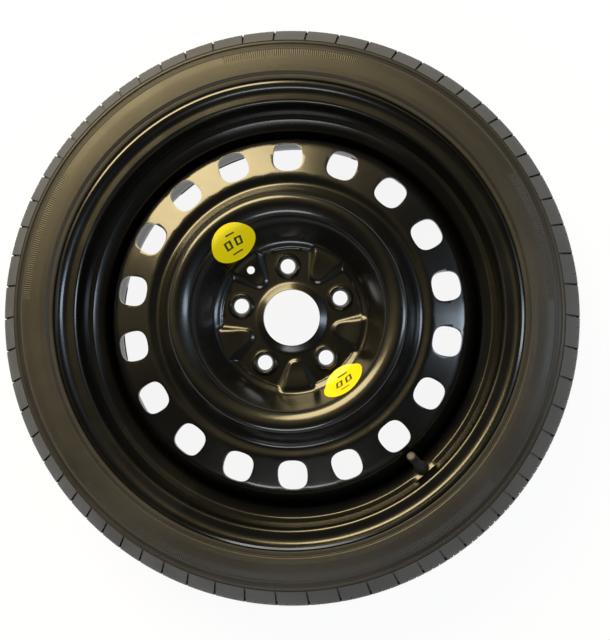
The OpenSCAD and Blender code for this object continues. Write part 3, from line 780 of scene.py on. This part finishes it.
# Half width of the block of faces that comes out for a hole, and how far the others are eased
VENT_BLOCK, BOLT_BLOCK, PILOT_BLOCK = (14.2, 27.0), (13.0, 17.2), (3.4, 7.0)
# A bolt seat's rings: (radius, height over the pad)
BOSS_RINGS = [(14.2, 0.0), (13.4, 0.12), (12.9, 0.7), (12.3, 1.9), (11.8, 2.4), (11.2, 2.5),
              (10.3, 2.5), (9.9, 2.3), (9.0, 0.75), (7.9, -1.15), (7.6, -1.66)]
EDGE_BEVEL = 0.45
# Steps between the blank's rings on the pad, just outside it, in a bend, on a slope and down the
# plain wall, which lies below WALL_TOP
ON_PAD, BY_PAD, IN_BEND, ON_SLOPE, ON_WALL = 1.0, 1.4, 2.1, 3.6, 7.0
BEND, WALL_TOP = math.radians(3), 10.0


def fan_height(x, y):
    """Height of the pressed fans over the pad at a point of the pad."""
    r, a = polar(x, y)
    turn = 2 * math.pi / BOLTS
    off = (a - BOLT_FIRST) % turn - turn / 2
    p, q = r * math.cos(off) - FAN_TIP, abs(r * math.sin(off))
    along = p * math.cos(FAN_SPREAD) + q * math.sin(FAN_SPREAD)
    if along > 0:
        outside = q * math.cos(FAN_SPREAD) - p * math.sin(FAN_SPREAD) - FAN_RADIUS
    else:
        outside = math.hypot(p, q) - FAN_RADIUS
    width = FAN_EDGE + FAN_EDGE_GAIN * ease((r - FAN_GAIN_FROM) / FAN_GAIN_OVER)
    return FAN_STEEPNESS * width * ease(-outside / width)


def disc_curve():
    """The outboard face of the disc's sheet."""
    return Curve(rounded(DISC_PATH, 3.0), DISC_PATH[0][0])


def boss_height(distance):
    """Height of a bolt seat over the pad at a distance from its middle."""
    if distance >= BOSS_RINGS[0][0]:
        return 0.0
    for (r1, h1), (r2, h2) in zip(BOSS_RINGS, BOSS_RINGS[1:]):
        if distance >= r2:
            return h2 + (h1 - h2) * (distance - r2) / (r1 - r2)
    return BOSS_RINGS[-1][1]


class SPARE_OT_disc(Operator):
    """Presses the disc from a flat blank with its holes, fans, seats and vents"""
    bl_idname = "spare.disc"
    bl_label = "Disc"

    def execute(self, context):
        sizes = context.scene.spare_wheel
        curve = disc_curve()
        bm = spun([Vector((s, 0)) for s in self.rows(curve)], sizes.steps, closed=False)
        bmesh.ops.rotate(bm, verts=bm.verts, cent=(0, 0, 0),
                         matrix=Matrix.Rotation(VENT_FIRST, 3, "Z"))
        outline = blunt_square(sizes.vent_long / 2 / MM, sizes.vent_wide / 2 / MM, VENT_SQUARENESS)
        for i in range(sizes.vents):
            angle = VENT_FIRST + 2 * math.pi * i / sizes.vents
            Hole(curve, VENT_CIRCLE, angle, VENT_LEAN).open(bm, *VENT_BLOCK, outline)
        bolts = []
        for i in range(BOLTS):
            hole = Hole(curve, BOLT_CIRCLE, BOLT_FIRST + 2 * math.pi * i / BOLTS, 0.0)
            edges = hole.open(bm, *BOLT_BLOCK, lambda angle: BOSS_RINGS[0][0])
            for radius, _ in BOSS_RINGS[1:]:
                edges = hole.inner_ring(bm, edges, radius)
            a = hole.angle
            bolts.append(Vector((BOLT_CIRCLE * math.cos(a), BOLT_CIRCLE * math.sin(a))))
        pilot = Hole(curve, PILOT_RADIUS, BOLT_FIRST + 3 * math.pi / BOLTS, 0.0)
        pilot.open(bm, *PILOT_BLOCK, lambda angle: PILOT_HOLE)
        self.press(bm, curve, bolts)
        rims = thickened(bm, DISC_SHEET, lambda v: self.upright(v, sizes.vents))
        for v in bm.verts:
            r = math.hypot(v.co.x, v.co.y)
            if r < PAD_RADIUS - 4 and v.co.z < PAD_BACK:
                v.co.z = PAD_BACK
            v.co.z = max(v.co.z, DISC_FOOT)
        bmesh.ops.recalc_face_normals(bm, faces=bm.faces)
        bmesh.ops.bevel(bm, geom=rims, offset=EDGE_BEVEL, offset_type="OFFSET", affect="EDGES",
                        segments=2, profile=0.5, material=-1, clamp_overlap=True)
        piece = finished(bm, "disc_pressed", gloss_paint(context), sharp=38.0)
        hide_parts("disc")
        return {"FINISHED"}

    @staticmethod
    def upright(v, vents):
        """1 on the pad and round the vents, which are punched straight down, and 0 on the walls."""
        r, a = polar(v.co.x, v.co.y)
        pitch = 2 * math.pi / vents
        off = (a - VENT_FIRST + pitch / 2) % pitch - pitch / 2
        from_vent = math.hypot(r * math.cos(off) - VENT_CIRCLE, r * math.sin(off))
        return max(ease((PAD_RADIUS - 1 - r) / 5), ease((25 - from_vent) / 8))

    @staticmethod
    def rows(curve):
        """Lengths along the profile for the blank's rings: close on the pad and in the bends."""
        pad_end, fine_end = (curve.length_at_radius(r) for r in (PAD_RADIUS - 0.9, PAD_RADIUS))
        rows = [curve.at[0]]
        while rows[-1] < curve.at[-1] - 0.8:
            s = rows[-1]
            if s < pad_end + 6:
                step = ON_PAD if s < fine_end + 4 else BY_PAD
            else:
                a, b, c = curve.place(s), curve.place(s + 2), curve.place(min(s + 4, curve.at[-1]))
                bend = (b - a).angle(c - b, 0.0)
                step = IN_BEND if bend > BEND else ON_SLOPE
                if a.y < WALL_TOP and bend < BEND:
                    step = ON_WALL
            rows.append(min(s + step, curve.at[-1]))
        rows[-1] = curve.at[-1]
        return rows

    @staticmethod
    def press(bm, curve, bolts):
        """Gives every point of the blank its radius and height in the pressed disc."""
        for v in bm.verts:
            s, a = polar(v.co.x, v.co.y)
            p = curve.place(s)
            x, y, z = p.x * math.cos(a), p.x * math.sin(a), p.y
            if p.x < PAD_RADIUS + 6:
                raised = PAD_HEIGHT + fan_height(x, y)
                if raised > PAD_HEIGHT + 1e-4 and p.x > FAN_FROM:
                    gap = abs(z - raised)
                    fade = 1 - min(1, gap / CREASE_HEIGHT)
                    z = (z + raised + math.hypot(gap, CREASE)) / 2 - CREASE / 2 * fade
                near = min((Vector((x, y)) - b).length for b in bolts)
                z += boss_height(near)
            v.co = (x, y, z)


# A weld bead's section, its arc with its tapered ends, and its ripples: their wave's turn for each
# radian round the wheel, and their share of the bead's size
WELD_SECTION = [(199.5, -20.1), (195.7, -20.1), (196.2, -21.6), (197.3, -22.9), (198.4, -23.7),
                (199.5, -24.0)]
WELDS, WELD_ARC, WELD_STEPS, WELD_END = 6, math.radians(24), 72, math.radians(1.2)
RIPPLE_TURN, RIPPLE_SHARE, END_SHARE = 199 * 2 * math.pi / 3.4, 0.09, 0.55


class SPARE_OT_welds(Operator):
    """Lays the rippled weld seams between the disc's edge and the rim"""
    bl_idname = "spare.welds"
    bl_label = "Weld seams"

    def execute(self, context):
        material = paint_material("painted_weld", (0.018, 0.017, 0.016), 0.32, 0.3)
        root_r, top = WELD_SECTION[0]
        for i in range(WELDS):
            middle = math.radians(360 / WELDS * i)
            bm = bmesh.new()
            verts = [bm.verts.new((x, 0, z)) for x, z in WELD_SECTION]
            face = bm.faces.new(verts)
            bmesh.ops.rotate(bm, verts=verts, cent=(0, 0, 0),
                             matrix=Matrix.Rotation(middle - WELD_ARC / 2, 3, "Z"))
            bmesh.ops.spin(bm, geom=[face], cent=(0, 0, 0), axis=(0, 0, 1), dvec=(0, 0, 0),
                           angle=WELD_ARC, steps=WELD_STEPS, use_merge=False, use_duplicate=False)
            for v in bm.verts:
                r, a = polar(v.co.x, v.co.y)
                off = (a - middle + math.pi) % (2 * math.pi) - math.pi
                ripple = math.cos(off * RIPPLE_TURN)
                end = ease((WELD_ARC / 2 - abs(off)) / WELD_END)
                if r < root_r - 0.2 and v.co.z < top - 0.2:
                    k = (END_SHARE + (1 - END_SHARE) * end) * (1 + RIPPLE_SHARE * ripple)
                    r_new = root_r - (root_r - r) * min(k, 1.05)
                    v.co.x, v.co.y = v.co.x * r_new / r, v.co.y * r_new / r
                    v.co.z = top + (v.co.z - top) * min(k, 1.02)
            piece = finished(bm, f"weld_bead_{i + 1}", material, sharp=50.0)
            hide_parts(f"weld_seam_{i + 1}")
        return {"FINISHED"}


# Name, radius and direction of each label's middle, and how far its print is turned
LABELS = (("upper", 90.0, 127.7, 28.0), ("lower", 85.5, 309.6, 208.0))
LABEL_RINGS, LABEL_STEPS, LABEL_THICKNESS, LABEL_LIFT = 12, 72, 0.25, 0.08


class SPARE_OT_labels(Operator):
    """Sticks the two round labels on the wall of the dish"""
    bl_idname = "spare.labels"
    bl_label = "Labels"

    def execute(self, context):
        sizes = context.scene.spare_label
        material = label_material(tuple(sizes.film), tuple(sizes.ink))
        curve, half = disc_curve(), sizes.width / 2 / MM
        for name, radius, angle, turn in LABELS:
            bm = self.patch(curve, half, radius, math.radians(angle), math.radians(turn))
            piece = finished(bm, f"{name}_label_film", material, sharp=50.0)
            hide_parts(f"{name}_label")
        return {"FINISHED"}

    @staticmethod
    def patch(curve, half, radius, angle, turn):
        """A round film wrapped on the wall, whose UV map is turned as its print is."""
        rings = [Vector((half * k / LABEL_RINGS, 0)) for k in range(LABEL_RINGS + 1)]
        bm = spun(rings, LABEL_STEPS, closed=False)
        uv = bm.loops.layers.uv.new("print")
        middle = curve.length_at_radius(radius)
        flat = {v: Vector((v.co.x, v.co.y)) for v in bm.verts}
        for f in bm.faces:
            for loop in f.loops:
                p = flat[loop.vert]
                # The wall's own axes are outwards and around, and the print is turned in the picture
                picture = Matrix.Rotation(angle, 2) @ p
                u, v = Matrix.Rotation(-turn, 2) @ picture
                loop[uv].uv = (u / half, v / half)
        for v, p in flat.items():
            s = middle + p.x
            at = curve.place(s)
            ahead, back = curve.place(s + 0.4), curve.place(s - 0.4)
            d = (ahead - back).normalized()
            off = Vector((at.x - d.y * LABEL_LIFT, at.y + d.x * LABEL_LIFT))
            a = angle + p.y / curve.place(middle).x
            v.co = (off.x * math.cos(a), off.x * math.sin(a), off.y)
        thickened(bm, -LABEL_THICKNESS)
        return bm


class SPARE_OT_valve(Operator):
    """Gives the valve's pieces their rubber, brass, steel and plastic"""
    bl_idname = "spare.valve"
    bl_label = "Valve"

    def execute(self, context):
        finishes = {
            "valve_stem": rubber_material("stem_rubber", (0.022, 0.021, 0.02), 0.5),
            "valve_insert": metal_material("turned_brass", (0.72, 0.56, 0.26), 0.3),
            "valve_core_body": metal_material("core_brass", (0.78, 0.62, 0.32), 0.26),
            "valve_core_gasket": rubber_material("gasket_rubber", (0.45, 0.05, 0.03), 0.5),
            "valve_seal_cup": rubber_material("seal_rubber", (0.04, 0.04, 0.04), 0.5),
            "valve_spring": metal_material("spring_steel", (0.6, 0.6, 0.62), 0.28),
            "valve_cap": rubber_material("cap_plastic", (0.016, 0.016, 0.016), 0.38),
        }
        finishes["valve_pin"] = finishes["valve_core_body"]
        finishes["valve_cap_seal"] = finishes["valve_seal_cup"]
        for node, material in finishes.items():
            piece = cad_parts[node]
            piece.data.materials.clear()
            piece.data.materials.append(material)
        return {"FINISHED"}


LAMP_AIM = (0, 0, 0.1)
# The photograph's view: almost straight down, with the wheel beside the picture's middle
CAMERA_PLACE, CAMERA_LENS, CAMERA_SHIFT = (0.0707, -0.0707, 0.7225), 35.53, (-0.0905, 0.1084)


def aimed(obj, target):
    obj.rotation_mode = "QUATERNION"
    obj.rotation_quaternion = (Vector(target) - obj.location).to_track_quat("-Z", "Y")


def direction(azimuth, elevation):
    """The unit vector towards an azimuth and an elevation in degrees."""
    a, e = math.radians(azimuth), math.radians(elevation)
    return Vector((math.cos(a) * math.cos(e), math.sin(a) * math.cos(e), math.sin(e)))


def lamp(name, azimuth, elevation, distance, size, power, colour):
    light = bpy.data.lights.new(name, "AREA")
    light.shape, light.size, light.size_y = "RECTANGLE", size[0], size[1]
    light.energy, light.color = power, colour
    obj = bpy.data.objects.new(name, light)
    bpy.context.scene.collection.objects.link(obj)
    obj.location = direction(azimuth, elevation) * distance
    aimed(obj, LAMP_AIM)


class SPARE_OT_stage(Operator):
    """Sets the pale floor, the studio's light and the camera"""
    bl_idname = "spare.stage"
    bl_label = "Stage"

    def execute(self, context):
        sizes = context.scene.spare_stage
        self.floor()
        self.world(context, sizes.room)
        warm, cool, white = (1.0, 0.8, 0.42), (0.72, 0.85, 1.0), (0.95, 0.97, 1.0)
        lamp("key_light", 122, 40, 1.7, (1.15, 0.85), sizes.key_power, warm)
        lamp("right_light", 4, 40, 1.7, (0.3, 1.0), sizes.cool_power, cool)
        lamp("lower_light", -96, 42, 1.8, (0.9, 0.3), sizes.cool_power * 0.8, white)
        camera = bpy.data.objects.new("camera", bpy.data.cameras.new("camera"))
        context.scene.collection.objects.link(camera)
        camera.location = CAMERA_PLACE
        camera.data.sensor_fit = "HORIZONTAL"
        camera.data.sensor_width, camera.data.lens = 36.0, CAMERA_LENS
        camera.data.shift_x, camera.data.shift_y = CAMERA_SHIFT
        camera.data.clip_start = 0.01
        context.scene.camera = camera
        context.scene.view_settings.view_transform = "Standard"
        return {"FINISHED"}

    @staticmethod
    def floor():
        """A pale floor that is white to the eye and keeps the wheel's shadow."""
        bm = bmesh.new()
        bmesh.ops.create_grid(bm, x_segments=8, y_segments=8, size=6.0)
        bmesh.ops.translate(bm, verts=bm.verts, vec=(0, 0, -0.0004))
        mesh = bpy.data.meshes.new("floor")
        bm.to_mesh(mesh)
        bm.free()
        material = bpy.data.materials.new("pale_floor")
        material.use_nodes = True
        material.node_tree.nodes.clear()
        w = Wires(material.node_tree)
        out = w.node("ShaderNodeOutputMaterial")
        shader = w.node("ShaderNodeBsdfDiffuse", None, Color=(0.93, 0.93, 0.93, 1))
        glow = w.node("ShaderNodeEmission", None, Color=(1, 1, 1, 1), Strength=1.0)
        path = w.node("ShaderNodeLightPath")
        seen = w.math("MAXIMUM", path.outputs["Is Camera Ray"], path.outputs["Is Transmission Ray"])
        seen = w.math("MAXIMUM", seen, path.outputs["Is Glossy Ray"])
        mixed = w.node("ShaderNodeMixShader", None, Fac=w.math("MULTIPLY", seen, 0.9))
        w.tree.links.new(shader.outputs[0], mixed.inputs[1])
        w.tree.links.new(glow.outputs[0], mixed.inputs[2])
        w.tree.links.new(mixed.outputs[0], out.inputs[0])
        mesh.materials.append(material)
        floor = bpy.data.objects.new("floor", mesh)
        bpy.context.scene.collection.objects.link(floor)

    @staticmethod
    def world(context, strength):
        """Even room light: white to the eye, and dim overhead in reflections."""
        world = bpy.data.worlds.new("studio")
        world.use_nodes = True
        world.node_tree.nodes.clear()
        w = Wires(world.node_tree)
        out = w.node("ShaderNodeOutputWorld")
        path = w.node("ShaderNodeLightPath")
        seen = w.math("MAXIMUM", path.outputs["Is Camera Ray"], path.outputs["Is Transmission Ray"])
        looking = w.node("ShaderNodeTexCoord").outputs["Generated"]

        def glow(azimuth, elevation, wide):
            """1 in a direction of the room, and less away from it, to 0 at wide degrees."""
            n = w.node("ShaderNodeVectorMath", {"operation": "DOT_PRODUCT"})
            w.feed(n.inputs[0], looking)
            w.feed(n.inputs[1], direction(azimuth, elevation))
            return w.span(n.outputs["Value"], math.cos(math.radians(wide)), 1.0)

        up = w.node("ShaderNodeSeparateXYZ", None, Vector=looking).outputs["Z"]
        room = w.mix(w.span(up, 0.0, 0.14), (1, 1, 1, 1), (0.016, 0.016, 0.014, 1))
        room = w.mix(glow(125, 34, 55), room, (0.6, 0.48, 0.25, 1))
        room = w.mix(glow(5, 35, 40), room, (0.14, 0.2, 0.26, 1))
        room = w.mix(glow(-90, 30, 40), room, (0.2, 0.21, 0.2, 1))
        colour = w.mix(path.outputs["Is Glossy Ray"], (strength, strength, strength, 1), room)
        colour = w.mix(seen, colour, (1, 1, 1, 1))
        back = w.node("ShaderNodeBackground", None, Color=colour, Strength=1.0)
        w.tree.links.new(back.outputs[0], out.inputs[0])
        context.scene.world = world


OPERATORS = (SPARE_OT_stage, SPARE_OT_tyre, SPARE_OT_rim, SPARE_OT_disc, SPARE_OT_welds,
             SPARE_OT_labels, SPARE_OT_valve)


class SPARE_PT_panel(Panel):
    """Lists the wheel's sizes and pieces"""
    bl_idname = "SPARE_PT_panel"
    bl_label = "Spare wheel"
    bl_space_type = "VIEW_3D"
    bl_region_type = "UI"
    bl_category = "Spare wheel"

    def draw(self, context):
        for key in SETTINGS:
            box = self.layout.box()
            settings = getattr(context.scene, key)
            for name in settings.__annotations__:
                box.prop(settings, name)
        for operator in OPERATORS:
            self.layout.operator(operator.bl_idname)


SETTINGS = {"spare_tyre": TyreSettings, "spare_wheel": WheelSettings, "spare_label": LabelSettings,
            "spare_stage": StageSettings}


def register():
    for cls in (*SETTINGS.values(), *OPERATORS, SPARE_PT_panel):
        bpy.utils.register_class(cls)
    for key, cls in SETTINGS.items():
        setattr(bpy.types.Scene, key, PointerProperty(type=cls))


def unregister():
    for key in SETTINGS:
        delattr(bpy.types.Scene, key)
    for cls in reversed((*SETTINGS.values(), *OPERATORS, SPARE_PT_panel)):
        bpy.utils.unregister_class(cls)


def main():
    """Builds every piece."""
    register()
    for operator in OPERATORS:
        getattr(bpy.ops.spare, operator.bl_idname.split(".")[1])()


if __name__ == "__main__":
    main()
